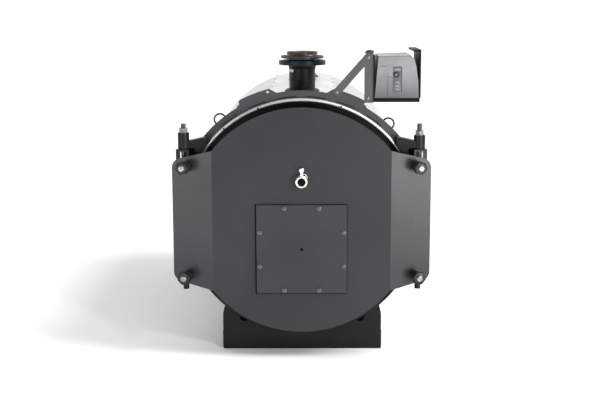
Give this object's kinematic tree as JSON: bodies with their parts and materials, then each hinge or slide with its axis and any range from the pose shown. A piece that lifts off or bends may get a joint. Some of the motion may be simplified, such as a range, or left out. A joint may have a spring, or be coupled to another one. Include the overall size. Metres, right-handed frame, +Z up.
{
  "type": "industrial fire-tube boiler",
  "caption": "Horizontal fire-tube hot-water boiler on a skid, with a hinged front door, a flanged flow nozzle and a control unit on a bracket.",
  "frame": {"origin": "on the floor, on the centre line, under the middle of the front saddle plate", "axes": "+Z up, +Y from the door to the flue outlet, +X to the right of someone who faces the door"},
  "size_m": [1.292, 2.1405, 1.552],
  "materials": {
    "door_grey": "satin anthracite paint",
    "black_satin": "satin black paint",
    "cladding": "silver-grey coated sheet",
    "bright_steel": "turned bright",
    "bare_steel": "mill finish",
    "zinc": "zinc plated",
    "refractory": "cast refractory, matt",
    "rope": "woven rope",
    "lens": "clear",
    "blue_seal": "plain blue",
    "black_plastic": "fine matt",
    "brown_cap": "plain",
    "silver_case": "silver-grey coated sheet"
  },
  "bodies": {
    "boiler": {"saddle_front": "black_satin", "saddle_rear": "black_satin", "rail_left": "black_satin", "rail_right": "black_satin", "pressure_shell": "black_satin", "front_tube_plate": "bare_steel", "rear_tube_plate": "bare_steel", "smoke_tubes": "bare_steel", "furnace_tube": "bare_steel", "front_flange": "black_satin", "door_seat_ring": "bright_steel", "front_collar": "door_grey", "cladding_left": "cladding", "cladding_right": "cladding", "cladding_crown": "cladding", "cladding_belly": "cladding", "rear_ring": "cladding", "smoke_box": "black_satin", "smoke_box_cover": "black_satin", "flue_spigot": "black_satin", "cleaning_hatch": "door_grey", "flow_nozzle": "black_satin", "return_nozzle": "black_satin", "flow_seal": "blue_seal", "flow_blank": "black_plastic", "flow_cap": "brown_cap", "lifting_rings": "zinc", "clamp_blocks": "black_satin", "hinge_arm_left": "black_satin", "hinge_arm_right": "black_satin", "hinge_spindles": "zinc", "lower_pivots": "black_satin", "control_bracket": "zinc", "control_tray": "black_plastic", "control_side_plate": "black_plastic", "control_case": "silver_case", "control_strip": "black_plastic", "control_fascia": "black_plastic"},
    "door": {"door_plate": "door_grey", "door_lining": "refractory", "door_gasket": "rope", "burner_plate": "door_grey", "burner_bolts": "black_satin", "sight_ring": "bright_steel", "sight_lens": "lens", "sight_valve": "zinc", "clamp_bolts": "black_satin", "door_lugs_left": "door_grey", "door_lugs_right": "door_grey"}
  },
  "joints": [
    {"name": "door_swing", "type": "hinge", "parent": "boiler", "child": "door", "pos_m": [-0.59, -0.0635, 0.705], "axis": [0, 0, -1], "range_deg": [0, 90]}
  ]
}
